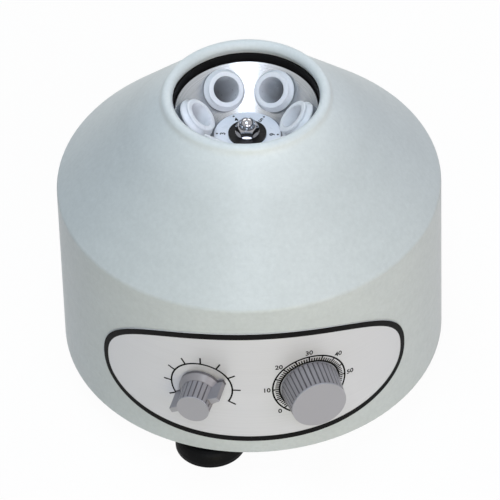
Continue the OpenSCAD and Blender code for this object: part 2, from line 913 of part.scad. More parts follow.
// Domed nut: a chamfered hexagon under a round cap, bored for the shaft's end
module acorn_nut() {
    corner_r = nut_af / sqrt(3);
    dome_z = nut_z + nut_hex_h - 1;
    color([0.85, 0.85, 0.87])
        difference() {
            union() {
                intersection() {
                    translate([0, 0, nut_z])
                        rotate([0, 0, rotor_turn])
                            cylinder(r = corner_r, h = nut_hex_h, $fn = 6);
                    translate([0, 0, nut_z])
                        rotate_extrude($fn = 96)
                            polygon([[0, 0], [corner_r - 0.7, 0], [corner_r, 0.5],
                                [corner_r, nut_hex_h - 1.1], [nut_af / 2 - 0.4, nut_hex_h], [0, nut_hex_h]]);
                }
                translate([0, 0, dome_z])
                    intersection() {
                        sphere(r = nut_dome_r, $fn = 72);
                        cylinder(r = nut_dome_r + 1, h = nut_dome_r + 1);
                    }
            }
            translate([0, 0, nut_z - 1])
                cylinder(r = shaft_r + run_gap, h = shaft_top - nut_z + 1.2, $fn = 96);
        }
}

// Milky plastic tube: rim, rounded flange, straight body and round bottom
module sample_tube(n) {
    flange_low = flange_z - 1.8;
    body_end = tube_len - tube_body_r;
    color([0.86, 0.89, 0.92])
        on_tube(n)
            rotate_extrude($fn = 96)
                polygon(concat(
                    [[tube_in_r, 0], [tube_rim_r - 0.6, 0], [tube_rim_r, -0.6], [tube_rim_r, -1.6]],
                    [[tube_rim_r - 0.7, -2.2], [tube_flange_r - 0.8, flange_z]],
                    [[tube_flange_r, flange_z - 0.7], [tube_flange_r, flange_low]],
                    [[tube_body_r, flange_low], [tube_body_r, -body_end]],
                    arc(0, -body_end, tube_body_r, 0, -90, 10),
                    arc(0, -body_end, tube_in_r, -90, 0, 10)));
}

// The flange clears the dish, which curves up towards it on both sides
dish_curve_r = hole_ring_r / cos(tube_angle);
flange_rise = dish_curve_r - sqrt(pow(dish_curve_r, 2) - pow(tube_flange_r, 2));
flange_z = -tube_stand + flange_rise + 0.15 + 1.8;

module tube_1() {
    sample_tube(5);
}

module tube_2() {
    sample_tube(4);
}

module tube_3() {
    sample_tube(3);
}

module tube_4() {
    sample_tube(2);
}

module tube_5() {
    sample_tube(1);
}

module tube_6() {
    sample_tube(0);
}

// Grooves down the side of a knob, leaning with its taper
module grooves(count, back_r, face_r, h, cut) {
    lean = atan2(back_r - face_r, h);
    for (i = [0:count - 1])
        rotate([0, 0, (i + 0.5) * 360 / count])
            translate([back_r + 0.15, 0, 0])
                rotate([0, -lean, 0])
                    cylinder(r = cut, h = h + 0.2, $fn = 16);
}

// Speed knob: skirt, fluted grip and a pointer bar on both sides
module speed_knob() {
    skirt_t = 2.2;
    skirt_top = 6;
    bar_h = speed_knob_h - 4;
    bar_w = 5.4;
    bar_end = 3.6;
    back = speed_wall + knob_gap;
    color([0.63, 0.63, 0.66])
        out_of_wall(-speed_turn, speed_axis_z)
            translate([0, 0, back])
                rotate([0, 0, pointer_rest])
                    difference() {
                        union() {
                            rotate_extrude($fn = 96)
                                polygon([[0, 0], [skirt_r, 0], [skirt_r, skirt_t],
                                    [grip_r + 0.5, skirt_top], [0, skirt_top]]);
                            difference() {
                                cylinder(r1 = grip_r + 0.5, r2 = grip_r - 0.3, h = speed_knob_h);
                                translate([0, 0, skirt_top])
                                    grooves(speed_grooves, grip_r + 0.3, grip_r - 0.3,
                                        speed_knob_h - skirt_top - 1, 0.6);
                            }
                            linear_extrude(height = bar_h)
                                polygon([[-pointer_half, -bar_end / 2], [0, -bar_w / 2],
                                    [pointer_half, -bar_end / 2], [pointer_half, bar_end / 2],
                                    [0, bar_w / 2], [-pointer_half, bar_end / 2]]);
                        }
                        translate([0, 0, -1])
                            cylinder(r = panel_nut_r + 1.6, h = bushing_out + 1.5);
                        translate([0, 0, -1])
                            cylinder(r = knob_shaft_r + run_gap, h = speed_knob_h - 2);
                    }
}

module timer_knob() {
    back = timer_wall + knob_gap;
    wall = 2.4;
    boss = 6;
    cavity = timer_knob_h - 4;
    color([0.63, 0.63, 0.66])
        out_of_wall(timer_turn, timer_axis_z)
            translate([0, 0, back])
                difference() {
                    cylinder(r1 = timer_knob_r, r2 = timer_face_r, h = timer_knob_h, $fn = 120);
                    grooves(timer_grooves, timer_knob_r, timer_face_r, timer_knob_h - 1.4, 0.6);
                    difference() {
                        translate([0, 0, -1])
                            cylinder(r = timer_face_r - wall, h = cavity + 1);
                        translate([0, 0, bushing_out + 0.6])
                            cylinder(r = boss, h = cavity);
                    }
                    translate([0, 0, -1])
                        cylinder(r = knob_shaft_r + run_gap, h = timer_knob_h - 2);
                }
}

// Shaft of a control, from inside its body to inside the knob
module control_shaft(wall, knob_h) {
    inner = wall - casing_wall - body_setback - 6;
    cylinder_end = wall + knob_gap + knob_h - 3.2;
    translate([0, 0, inner])
        cylinder(r = knob_shaft_r, h = cylinder_end - inner, $fn = 72);
}

module speed_shaft() {
    color("silver")
        out_of_wall(-speed_turn, speed_axis_z)
            control_shaft(speed_wall, speed_knob_h);
}

module timer_shaft() {
    color("silver")
        out_of_wall(timer_turn, timer_axis_z)
            control_shaft(timer_wall, timer_knob_h);
}

// Threaded bushing of a control, with its shoulder inside the wall
module control_bushing(wall) {
    shoulder = wall - casing_wall - body_setback;
    translate([0, 0, shoulder - 1])
        cylinder(r = bushing_r + 2, h = body_setback + 1 - 0.25);
    translate([0, 0, shoulder - 1])
        cylinder(r = bushing_r, h = casing_wall + body_setback + 1 + bushing_out);
}

module control_bore(wall) {
    translate([0, 0, wall - casing_wall - body_setback - 6.5])
        cylinder(r = knob_shaft_r + run_gap, h = 40, $fn = 72);
}

module speed_control() {
    back = speed_wall - casing_wall - body_setback;
    color([0.25, 0.25, 0.27])
        out_of_wall(-speed_turn, speed_axis_z)
            difference() {
                union() {
                    translate([0, 0, back - pot_h])
                        cylinder(r = pot_r, h = pot_h);
                    translate([-8, -pot_r - 5, back - pot_h + 4])
                        cube([16, 10, 1.6]);
                    control_bushing(speed_wall);
                }
                control_bore(speed_wall);
            }
}

// Clockwork timer: a box with a drum at its back and two lugs
module timer_body() {
    back = timer_wall - casing_wall - body_setback - 1.2;
    color([0.85, 0.84, 0.8])
        out_of_wall(timer_turn, timer_axis_z)
            difference() {
                union() {
                    translate([-timer_side / 2, -timer_side / 2, back - timer_h])
                        cube([timer_side, timer_side, timer_h]);
                    translate([0, 0, back - timer_h - 8])
                        cylinder(r = timer_side / 2 - 4, h = 9);
                    translate([0, 0, back - 1])
                        cylinder(r = bushing_r + 6, h = 2.2);
                    control_bushing(timer_wall);
                }
                control_bore(timer_wall);
                for (sx = [-1, 1], sy = [-1, 1])
                    translate([sx * (timer_side / 2 - 5), sy * (timer_side / 2 - 5), back - 6])
                        cylinder(r = 2, h = 10, $fn = 48);
            }
}

module panel_nuts() {
    lift = panel_t + 2 * seat;
    color("silver") {
        out_of_wall(-speed_turn, speed_axis_z)
            translate([0, 0, speed_wall + lift])
                hex_nut(panel_nut_r * sqrt(3), bushing_r + run_gap, panel_nut_t);
        out_of_wall(timer_turn, timer_axis_z)
            translate([0, 0, timer_wall + lift])
                hex_nut(panel_nut_r * sqrt(3), bushing_r + run_gap, panel_nut_t);
    }
}

// Places the board: +X runs round the base, +Y towards the spin axis
module on_board(z) {
    rotate([0, 0, -board_turn])
        translate([0, -board_mid_r, z])
            children();
}

post_screw_r = 1.5;

module at_board_corners() {
    on_board(0)
        for (sx = [-1, 1], sy = [-1, 1])
            translate([sx * (board_l / 2 - 4), sy * (board_w / 2 - 4), 0])
                children();
}

module circuit_board() {
    color([0.13, 0.35, 0.2])
        difference() {
            on_board(board_z)
                translate([-board_l / 2, -board_w / 2, 0])
                    cube([board_l, board_w, board_t]);
            at_board_corners()
                translate([0, 0, board_z - 1])
                    cylinder(r = post_screw_r + hole_gap, h = board_t + 2, $fn = 48);
        }
}

module board_posts() {
    color([0.9, 0.9, 0.85])
        at_board_corners()
            translate([0, 0, plate_top])
                tube_ring(3, post_screw_r + hole_gap, post_h, $fn = 48);
}

module board_screws() {
    color("silver")
        at_board_corners() {
            translate([0, 0, plate_z])
                pan_screw(post_screw_r, board_z + board_t + 3.5 - plate_z, 2.8, 1.8);
            translate([0, 0, board_z + board_t])
                hex_nut(5.5, post_screw_r + run_gap, 2.4);
        }
}

chip_x = 16;
chip_y = 4;

module power_switch_chip() {
    color([0.08, 0.08, 0.08])
        on_board(board_z + board_t)
            translate([chip_x - 5, chip_y, 0]) {
                translate([0, 0, 4])
                    cube([10, 4.4, 15]);
                for (k = [0:2])
                    translate([1.6 + k * 2.9, 1.8, 0])
                        cube([1, 0.8, 5]);
            }
}

// Finned aluminium heat sink behind the power chip
module heat_sink() {
    fins = 5;
    fin_t = 1.6;
    fin_l = 6;
    sink_l = 22;
    sink_h = 26;
    color([0.7, 0.71, 0.73])
        on_board(board_z + board_t)
            translate([chip_x - sink_l / 2, chip_y + 4.4 + seat, 0]) {
                cube([sink_l, 3, sink_h]);
                for (i = [0:fins - 1])
                    translate([i * (sink_l - fin_t) / (fins - 1), 2, 0])
                        cube([fin_t, fin_l + 1, sink_h]);
            }
}

module board_capacitors() {
    color([0.2, 0.25, 0.55])
        on_board(board_z + board_t) {
            translate([-20, 8, 0])
                cylinder(r = 6, h = 20, $fn = 72);
            translate([-5, 8, 0])
                cylinder(r = 4, h = 12, $fn = 72);
            translate([-12, -14, 0])
                cube([18, 8, 14]);
        }
}

module suppression_choke() {
    color([0.75, 0.5, 0.2])
        on_board(board_z + board_t)
            translate([21, -9, 0])
                rotate_extrude($fn = 72)
                    translate([6.5, 3])
                        circle(r = 3, $fn = 32);
}

module terminal_block() {
    ways = 4;
    pitch = 6;
    color([0.15, 0.45, 0.25])
        on_board(board_z + board_t)
            translate([-board_l / 2 + 3, -ways * pitch / 2 + 1, 0])
                difference() {
                    cube([9, ways * pitch, 11]);
                    for (i = [0:ways - 1]) {
                        translate([4.5, (i + 0.5) * pitch, 4])
                            cylinder(r = 1.9, h = 10, $fn = 32);
                        translate([-1, (i + 0.5) * pitch - 2, 1.5])
                            cube([5, 4, 3.5]);
                    }
                }
}

// Rear of the wall: fuse holder and cord gland
rear_h = 34;
rear_z = casing_z + rear_h;
rear_wall = wall_r(rear_z);
fuse_turn = 168;
gland_turn = 192;
fuse_hole_r = 6.3;
fuse_cap_r = 7.2;
gland_groove_r = 7;
cord_r = 3.4;

module fuse_holder() {
    flange = 8.4;
    barrel_l = 34;
    color([0.08, 0.08, 0.08])
        out_of_wall(fuse_turn, rear_z)
            difference() {
                union() {
                    translate([0, 0, rear_wall + 0.1])
                        cylinder(r = flange, h = 2, $fn = 72);
                    translate([0, 0, rear_wall - barrel_l])
                        cylinder(r = fuse_hole_r, h = barrel_l + 2, $fn = 72);
                    translate([0, 0, rear_wall - casing_wall - 4.4])
                        cylinder(r = 9.4, h = 4, $fn = 6);
                    translate([-1, -2, rear_wall - barrel_l - 8])
                        cube([2, 4, 9]);
                }
                translate([0, 0, rear_wall - 30])
                    cylinder(r = 4.2, h = 40, $fn = 72);
            }
}

module fuse_cap() {
    color([0.08, 0.08, 0.08])
        out_of_wall(fuse_turn, rear_z)
            difference() {
                union() {
                    translate([0, 0, rear_wall + 2.3])
                        cylinder(r1 = fuse_cap_r, r2 = fuse_cap_r - 0.8, h = 7, $fn = 72);
                    translate([0, 0, rear_wall - 20])
                        cylinder(r = 4, h = 23, $fn = 72);
                }
                translate([-fuse_cap_r - 1, -0.7, rear_wall + 7.9])
                    cube([2 * fuse_cap_r + 2, 1.4, 3]);
            }
}

// Rubber bush in the wall for the mains cord
module cord_gland() {
    flange_r = gland_groove_r + 2.4;
    in_face = rear_wall - casing_wall - 0.6;
    color([0.06, 0.06, 0.06])
        out_of_wall(gland_turn, rear_z)
            rotate_extrude($fn = 72)
                polygon([[cord_r, in_face - 3], [flange_r, in_face - 3], [flange_r, in_face],
                    [gland_groove_r, in_face], [gland_groove_r, rear_wall + seat],
                    [flange_r, rear_wall + seat], [flange_r - 0.4, rear_wall + 2.6],
                    [cord_r + 2, rear_wall + 9], [cord_r, rear_wall + 9]]);
}

casing_shell();
base_ring();
mouth_gasket();
control_panel();
base_plate();
base_screws();
suction_feet();
foot_screws();
lock_nuts();
motor_deck();
motor_dampers();
damper_bolts();
motor_lower_bell();
motor_housing();
motor_upper_bell();
motor_tie_bolts();
stator_core();
field_coils();
lower_bearing();
upper_bearing();
brush_holders();
carbon_brushes();
brush_springs();
brush_caps();
motor_shaft();
armature_core();
armature_windings();
commutator();
cooling_fan();
rotor_hub();
hub_screws();
rotor_dish();
number_disc();
rubber_washer();
steel_washer();
acorn_nut();
tube_1();
tube_2();
tube_3();
tube_4();
tube_5();
tube_6();
speed_knob();
speed_shaft();
speed_control();
timer_knob();
timer_shaft();
timer_body();
panel_nuts();
circuit_board();
board_posts();
board_screws();
power_switch_chip();
heat_sink();
board_capacitors();
suppression_choke();
terminal_block();
fuse_holder();
fuse_cap();
cord_gland();
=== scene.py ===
import math

import bmesh
import bpy
from mathutils import Matrix, Vector


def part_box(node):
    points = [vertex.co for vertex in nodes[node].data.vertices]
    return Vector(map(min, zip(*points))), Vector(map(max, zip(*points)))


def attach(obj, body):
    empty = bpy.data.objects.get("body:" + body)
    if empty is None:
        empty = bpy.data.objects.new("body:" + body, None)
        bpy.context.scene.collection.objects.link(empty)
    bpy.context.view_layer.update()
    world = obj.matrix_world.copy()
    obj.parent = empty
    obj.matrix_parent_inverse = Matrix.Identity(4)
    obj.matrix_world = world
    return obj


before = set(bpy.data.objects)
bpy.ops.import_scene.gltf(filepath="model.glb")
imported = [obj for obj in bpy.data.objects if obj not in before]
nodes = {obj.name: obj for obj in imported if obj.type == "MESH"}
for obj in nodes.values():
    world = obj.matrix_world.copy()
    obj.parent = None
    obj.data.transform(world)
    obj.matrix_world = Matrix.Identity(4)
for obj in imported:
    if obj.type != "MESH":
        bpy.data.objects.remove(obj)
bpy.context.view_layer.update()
scene = bpy.context.scene
scene.view_settings.view_transform = "Standard"

# Sizes that the prints and finishes share with the CAD source, in metres. -Y is the front.
CASING_Z = 0.0195  # height of the casing's bottom edge
WALL_R = 0.130  # radius of the wall at the shoulder
FLARE = 0.001  # how much wider the wall is at its bottom edge
WALL_H = 0.130  # height of the wall
PLATE_FACE = 0.0007  # how far the label plate's face stands off the wall
PLATE_MID = CASING_Z + 0.055  # height of the plate's widest line
PLATE_HALF = 0.1145  # half width of the plate, round the wall
PLATE_UP = 0.0555  # height of the plate above its widest line
PLATE_DOWN = 0.0437  # height of the plate below it
ROUND_UP = 2.1  # power of the plate's outline above its widest line
ROUND_DOWN = 2.5  # power of the outline below it
SPEED_TURN = -math.radians(16)  # turn of the speed knob's axis from the front
TIMER_TURN = math.radians(16)  # turn of the timer knob's axis
SPEED_Z = CASING_Z + 0.0591  # height of the speed knob's axis
TIMER_Z = CASING_Z + 0.0582  # height of the timer knob's axis
SPEED_FACE_R = 0.0110  # radius of the speed knob's grip at its face
TIMER_FACE_R = 0.0187  # radius of the timer knob at its face
SPEED_FALL = 0.0374  # radius that the speed knob's grip loses for each metre towards its face
TIMER_FALL = 0.065  # the same for the timer knob
ROTOR_TURN = math.radians(-4.3)  # turn of the rotor at rest
DISC_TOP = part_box("number_disc")[1].z


def face_of(name, turn):
    """How far from the spin axis a knob's face is."""
    return max(v.co.x * math.sin(turn) - v.co.y * math.cos(turn) for v in nodes[name].data.vertices)


# Where the painted highlight on the casing's paint and the painted shade on the knobs' plastic change, in
# metres. Each pair holds the two ends of a change.
LIP_HIGHLIGHT_HEIGHTS = (0.198, 0.222)  # where a painted highlight makes the casing's paint paler on the lip
GROOVE_DEPTHS = (0.00042, 0.00014)  # under the surface of a knob's grip, where the painted shade in its grooves changes
EDGE_DEPTHS = (0.0009, 0.0005)  # under a knob's face, where its side and the painted shade on it begin
BAR_DEPTHS = (0.0044, 0.0041)  # under the speed knob's face, at the back of its pointer bar
BAR_REACHES = (0.0121, 0.0124)  # from the knob's axis, where the bar stands out past the grip
SKIRT_DEPTHS = (0.0196, 0.0191)  # under the face, where the skirt's edge and its painted shadow begin
SKIRT_REACHES = (0.0137, 0.0142)  # from the axis, where the skirt's edge and its painted shadow begin

# The knobs' colours: their own pale grey at 0 on the face, painted shade on the side, and the deepest
# painted shade at 1 in the grooves
KNOB_PALE = (163, 163, 170)
KNOB_SIDE_PAINTED_SHADE = (138, 135, 138)
KNOB_GROOVE_PAINTED_SHADE = (76, 73, 76)
SIDE_PAINTED_SHADE = 0.5
SKIRT_PAINTED_SHADOW = 0.95

# Most of a noise's values lie between these two
MIDDLE = (0.3, 0.7)


# Materials
def colour(r, g, b):
    """sRGB levels from 0 to 255 as scene-linear RGBA."""
    def linear(level):
        level /= 255
        return level / 12.92 if level <= 0.04045 else ((level + 0.055) / 1.055) ** 2.4
    return (linear(r), linear(g), linear(b), 1.0)


def shift(rgb, levels):
    """A colour made paler by so many levels, or darker where they are negative."""
    return tuple(max(0, min(255, c + levels)) for c in rgb)


def below(level, depths):
    """The heights that lie two depths below a level."""
    return tuple(level - depth for depth in depths)


class Finish:
    """A node material round one Principled shader. Its textures use the object's own coordinates."""

    def __init__(self, name, rgb, rough, metal=0.0, **sockets):
        self.mat = bpy.data.materials.new(name)
        self.mat.use_nodes = True
        self.tree = self.mat.node_tree
        self.shader = self.tree.nodes["Principled BSDF"]
        self.rgb = rgb
        self.rough = rough
        self.set(Base_Color=colour(*rgb), Roughness=rough, Metallic=metal, **sockets)
        self.coords = self.node("ShaderNodeTexCoord").outputs["Object"]
        self.normal = None

    def set(self, **sockets):
        """Sets the shader's sockets, named with _ for each space."""
        for key, value in sockets.items():
            self.shader.inputs[key.replace("_", " ")].default_value = value

    def node(self, kind, **settings):
        made = self.tree.nodes.new(kind)
        for key, value in settings.items():
            setattr(made, key, value)
        return made

    def link(self, a, b):
        self.tree.links.new(a, b)

    def feed(self, made, values):
        """Gives a node its first inputs, each a socket or a constant."""
        for value, socket in zip(values, made.inputs):
            if isinstance(value, bpy.types.NodeSocket):
                self.link(value, socket)
            else:
                socket.default_value = value
        return made

    def maths(self, operation, *values):
        return self.feed(self.node("ShaderNodeMath", operation=operation), values).outputs[0]

    def vectors(self, operation, *values):
        return self.feed(self.node("ShaderNodeVectorMath", operation=operation), values)

    def stretched(self, scale):
        """The coordinates stretched along X, Y and Z."""
        mapping = self.node("ShaderNodeMapping")
        mapping.inputs["Scale"].default_value = scale
        self.link(self.coords, mapping.inputs["Vector"])
        return mapping.outputs["Vector"]

    def rings(self, scale):
        """Coordinates that change only with the distance from the spin axis."""
        flat = self.vectors("MULTIPLY", self.coords, (1, 1, 0))
        reach = self.vectors("LENGTH", flat.outputs["Vector"])
        made = self.node("ShaderNodeCombineXYZ")
        self.link(self.maths("MULTIPLY", reach.outputs["Value"], scale), made.inputs["X"])
        return made.outputs[0]

    def height(self):
        """How high each point lies."""
        made = self.node("ShaderNodeSeparateXYZ")
        self.link(self.coords, made.inputs[0])
        return made.outputs["Z"]

    def round_axis(self, centre, axis):
        """(distance from an axis, distance along it) of each point."""
        off = self.vectors("SUBTRACT", self.coords, centre).outputs["Vector"]
        along = self.vectors("DOT_PRODUCT", off, axis).outputs["Value"]
        part = self.vectors("SCALE", axis)
        self.link(along, part.inputs["Scale"])
        across = self.vectors("SUBTRACT", off, part.outputs["Vector"])
        return self.vectors("LENGTH", across.outputs["Vector"]).outputs["Value"], along

    def noise(self, scale, detail=3.0, rough=0.5, vector=None):
        tex = self.node("ShaderNodeTexNoise")
        tex.inputs["Scale"].default_value = scale
        tex.inputs["Detail"].default_value = detail
        tex.inputs["Roughness"].default_value = rough
        self.link(vector or self.coords, tex.inputs["Vector"])
        return tex.outputs["Fac"]

    def cells(self, scale):
        """Soft round cells, like the orange peel of sprayed paint."""
        tex = self.node("ShaderNodeTexVoronoi", feature="SMOOTH_F1")
        tex.inputs["Scale"].default_value = scale
        self.link(self.coords, tex.inputs["Vector"])
        return tex.outputs["Distance"]

    def spread(self, value, over, to):
        """A value mapped from one range to another, and held at its ends."""
        made = self.node("ShaderNodeMapRange")
        for key, number in zip(("From Min", "From Max", "To Min", "To Max"), (*over, *to)):
            made.inputs[key].default_value = number
        self.link(value, made.inputs["Value"])
        return made.outputs["Result"]

    def ramp(self, value, first, last, *between):
        """Base colour by a value. Each stop is (position, rgb)."""
        made = self.node("ShaderNodeValToRGB")
        stops = made.color_ramp.elements
        for i, (position, rgb) in enumerate((first, last)):
            stops[i].position = position
            stops[i].color = colour(*rgb)
        for position, rgb in between:
            stops.new(position).color = colour(*rgb)
        self.link(value, made.inputs["Fac"])
        self.link(made.outputs["Color"], self.shader.inputs["Base Color"])

    def mottle(self, value, darker, paler, over=MIDDLE):
        """Base colour varied by a texture, from so many levels darker to so many paler."""
        self.ramp(value, (over[0], shift(self.rgb, -darker)), (over[1], shift(self.rgb, paler)))

    def shine(self, value, smoother, rougher):
        """Roughness varied by a texture, from so much smoother to so much rougher."""
        uneven = self.spread(value, MIDDLE, (self.rough - smoother, self.rough + rougher))
        self.link(uneven, self.shader.inputs["Roughness"])

    def bump(self, value, strength, distance):
        """Fine relief by a texture, added to what the material has already."""
        made = self.node("ShaderNodeBump")
        made.inputs["Strength"].default_value = strength
        made.inputs["Distance"].default_value = distance
        self.link(value, made.inputs["Height"])
        if self.normal:
            self.link(self.normal, made.inputs["Normal"])
        self.normal = made.outputs["Normal"]
        self.link(self.normal, self.shader.inputs["Normal"])


def plain(name, rgb, rough, metal=0.0, grain=900.0, vary=6, bump=0.1, depth=0.00005, **sockets):
    """Moulded or coated surface: faint mottling, uneven gloss and a fine grain."""
    m = Finish(name, rgb, rough, metal, **sockets)
    m.mottle(m.noise(35.0), darker=vary, paler=vary)
    m.shine(m.noise(grain * 0.3), smoother=0.05, rougher=0.06)
    m.bump(m.noise(grain, detail=4.0), strength=bump, distance=depth)
    return m


def brushed(name, rgb, rough, stretch, metal=1.0, vary=8, bump=0.15):
    """Metal with fine lines. stretch is how close they lie along X, Y and Z."""
    m = Finish(name, rgb, rough, metal)
    lines = m.noise(220.0, detail=5.0, rough=0.65, vector=m.stretched(stretch))
    m.mottle(lines, darker=vary, paler=vary)
    m.shine(lines, smoother=0.06, rougher=0.08)
    m.bump(lines, strength=bump, distance=0.00004)
    return m


def spun(name, rgb, rough):
    """Turned metal, with fine rings about the spin axis."""
    m = Finish(name, rgb, rough, metal=1.0)
    rings = m.noise(1.0, detail=4.0, rough=0.7, vector=m.rings(2600.0))
    m.mottle(rings, darker=6, paler=6)
    m.shine(rings, smoother=0.04, rougher=0.06)
    m.bump(rings, strength=0.12, distance=0.00003)
    return m


def dish_material():
    """Polished spun aluminium, whose highlight is drawn out across its rings."""
    m = Finish("polished_dish", (170, 174, 178), 0.22, metal=1.0, Anisotropic=0.85)
    tangent = m.node("ShaderNodeTangent", direction_type="RADIAL", axis="Z")
    m.link(tangent.outputs[0], m.shader.inputs["Tangent"])
    rings = m.noise(1.0, detail=4.0, rough=0.75, vector=m.rings(3200.0))
    m.mottle(rings, darker=7, paler=7)
    m.shine(rings, smoother=0.02, rougher=0.1)
    m.bump(rings, strength=0.1, distance=0.00003)
    return m


def paint_material():
    """Satin paint with a faint close mottle, and a painted highlight that makes it a little paler where
    the cone curls into the lip.
    """
    m = Finish("casing_paint", (200, 207, 207), 0.42)
    grain = m.maths("MULTIPLY", m.noise(330.0, detail=6.0, rough=0.65), 0.5)
    clouds = m.maths("MULTIPLY", m.noise(45.0, vector=m.stretched((1, 1, 2.5))), 0.22)
    # Painted highlight: the paint grows paler up the lip, between the lip's two heights
    lip = m.spread(m.height(), over=LIP_HIGHLIGHT_HEIGHTS, to=(0.0, 0.42))
    m.mottle(m.maths("ADD", m.maths("ADD", grain, clouds), lip), darker=9, paler=21, over=(0.2, 0.97))
    m.shine(m.noise(260.0), smoother=0.04, rougher=0.08)
    m.bump(m.cells(520.0), strength=0.08, distance=0.0002)
    m.bump(m.noise(1500.0), strength=0.06, distance=0.0001)
    return m


def milky_material():
    """Cloudy plastic that light soaks into."""
    m = Finish("milky_plastic", (238, 241, 245), 0.3,
               Subsurface_Weight=0.7, Subsurface_Scale=0.004, Subsurface_Radius=(1, 1, 1))
    m.mottle(m.noise(60.0), darker=6, paler=5)
    m.shine(m.noise(300.0), smoother=0.04, rougher=0.1)
    m.bump(m.noise(700.0), strength=0.05, distance=0.0001)
    return m


def knob_material(name, node, turn, z, face_r, fall, has_pointer):
    """Grey moulded plastic, with painted shade down its side, deeper painted shade in its grooves and a
    painted shadow round its skirt.

    turn and z place the knob's axis, face_r is the grip's radius at its face, and fall is how much
    radius the grip loses for each metre towards the face. A pointer bar stays pale.
    """
    m = Finish(name, KNOB_PALE, 0.36)
    face = face_of(node, turn)
    reach, along = m.round_axis((0, 0, z), (math.sin(turn), -math.cos(turn), 0))
    grip = m.maths("ADD", reach, m.maths("MULTIPLY", along, fall))
    # Painted shade: darker down the side below the face's edge, and darker still in the grooves
    groove_shade = m.spread(grip, below(face_r + fall * face, GROOVE_DEPTHS), (1.0 - SIDE_PAINTED_SHADE, 0.0))
    side = m.spread(along, below(face, EDGE_DEPTHS), (1.0, 0.0))
    painted_shade = m.maths("MULTIPLY", side, m.maths("ADD", groove_shade, SIDE_PAINTED_SHADE))
    # The pointer bar is kept out of the painted side shade, and the skirt's edge takes a painted shadow
    if has_pointer:
        past_grip = m.spread(reach, BAR_REACHES, (0.0, 1.0))
        near_face = m.spread(along, below(face, BAR_DEPTHS), (0.0, 1.0))
        off_bar = m.maths("SUBTRACT", 1.0, m.maths("MULTIPLY", past_grip, near_face))
        at_edge = m.spread(reach, SKIRT_REACHES, (0.0, SKIRT_PAINTED_SHADOW))
        far_back = m.spread(along, below(face, SKIRT_DEPTHS), (1.0, 0.0))
        skirt = m.maths("MULTIPLY", at_edge, far_back)
        painted_shade = m.maths("MAXIMUM", m.maths("MULTIPLY", painted_shade, off_bar), skirt)
    m.ramp(painted_shade, (0.0, KNOB_PALE), (1.0, KNOB_GROOVE_PAINTED_SHADE), (SIDE_PAINTED_SHADE, KNOB_SIDE_PAINTED_SHADE))
    m.shine(m.noise(300.0), smoother=0.08, rougher=0.04)
    m.bump(m.noise(1300.0, detail=4.0), strength=0.12, distance=0.00006)
    return m


def copper_material():
    """Varnished copper wire, laid in close turns."""
    m = Finish("copper_wire", (176, 96, 52), 0.35, metal=0.9, Coat_Weight=0.4)
    wires = m.noise(160.0, detail=2.0, vector=m.stretched((6, 6, 1)))
    m.mottle(wires, darker=22, paler=14)
    m.bump(wires, strength=0.4, distance=0.0003)
    m.shine(m.noise(200.0), smoother=0.07, rougher=0.07)
    return m


def laminated_material():
    """Iron sheets stacked along the spin axis."""
    m = Finish("laminated_iron", (92, 94, 100), 0.45, metal=0.8)
    sheets = m.noise(300.0, detail=2.0, vector=m.stretched((0.02, 0.02, 8)))
    m.mottle(sheets, darker=20, paler=14)
    m.bump(sheets, strength=0.5, distance=0.0003)
    m.shine(m.noise(150.0), smoother=0.07, rougher=0.1)
    return m


def cast_material():
    """Die-cast aluminium with a sandy skin."""
    m = Finish("cast_aluminium", (172, 174, 178), 0.5, metal=0.85)
    m.mottle(m.noise(90.0), darker=12, paler=8)
    m.bump(m.noise(900.0, detail=5.0), strength=0.35, distance=0.0003)
    m.shine(m.noise(300.0), smoother=0.08, rougher=0.1)
    return m


